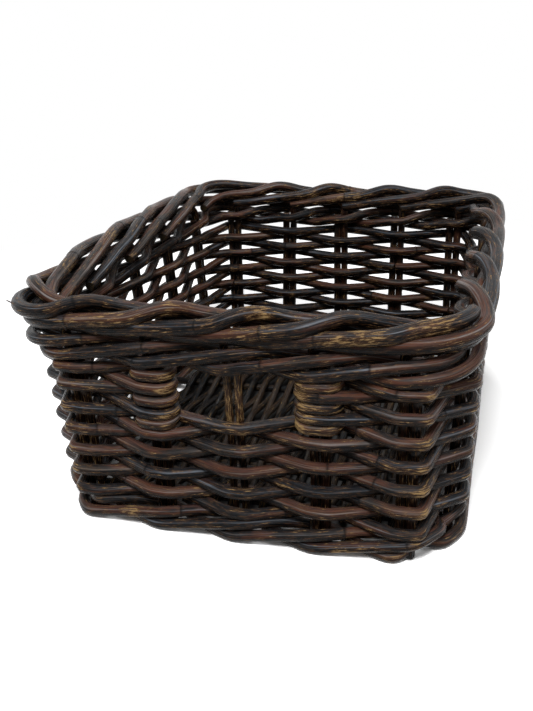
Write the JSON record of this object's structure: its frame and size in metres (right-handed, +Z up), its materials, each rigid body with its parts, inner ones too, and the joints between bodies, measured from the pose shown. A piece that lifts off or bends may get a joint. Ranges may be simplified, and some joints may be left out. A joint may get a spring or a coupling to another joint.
{
  "type": "wicker storage basket",
  "caption": "Open rectangular storage basket woven of thick dark cane, with sides that lean out, a rolled border and a hand hole in the front wall.",
  "frame": {"origin": "middle of the basket's footprint, on the surface it stands on", "axes": "+Z up, -Y towards the wall with the hand hole, +X to the right of a viewer who faces that wall"},
  "size_m": [0.3264, 0.4066, 0.1761],
  "materials": {
    "stake_cane": "satin stained cane",
    "weaver_cane": "satin stained cane",
    "wale_cane": "satin stained cane",
    "base_cane": "dull stained cane"
  },
  "bodies": {
    "root": {"stake_pair_front_1": "stake_cane", "stake_pair_front_2": "stake_cane", "stake_pair_front_3": "stake_cane", "stake_pair_front_4": "stake_cane", "stake_pair_front_5": "stake_cane", "stake_pair_right_1": "stake_cane", "stake_pair_right_2": "stake_cane", "stake_pair_right_3": "stake_cane", "stake_pair_right_4": "stake_cane", "stake_pair_right_5": "stake_cane", "stake_pair_back_1": "stake_cane", "stake_pair_back_2": "stake_cane", "stake_pair_back_3": "stake_cane", "stake_pair_back_4": "stake_cane", "stake_pair_back_5": "stake_cane", "stake_pair_left_1": "stake_cane", "stake_pair_left_2": "stake_cane", "stake_pair_left_3": "stake_cane", "stake_pair_left_4": "stake_cane", "stake_pair_left_5": "stake_cane", "handle_row_1": "weaver_cane", "handle_row_2": "weaver_cane", "handle_row_3": "weaver_cane", "handle_row_4": "weaver_cane", "full_row_05": "weaver_cane", "full_row_06": "weaver_cane", "full_row_07": "weaver_cane", "full_row_08": "weaver_cane", "full_row_09": "weaver_cane", "full_row_10": "weaver_cane", "full_row_11": "weaver_cane", "full_row_12": "weaver_cane", "full_row_13": "weaver_cane", "upper_wale_1": "wale_cane", "upper_wale_2": "wale_cane", "upper_wale_3": "wale_cane", "foot_wale_1": "wale_cane", "foot_wale_2": "wale_cane", "foot_wale_3": "wale_cane", "base_stick_1": "base_cane", "base_stick_2": "base_cane", "base_stick_3": "base_cane", "base_stick_4": "base_cane", "base_stick_5": "base_cane", "base_stick_6": "base_cane", "base_weaver": "base_cane"}
  },
  "joints": []
}
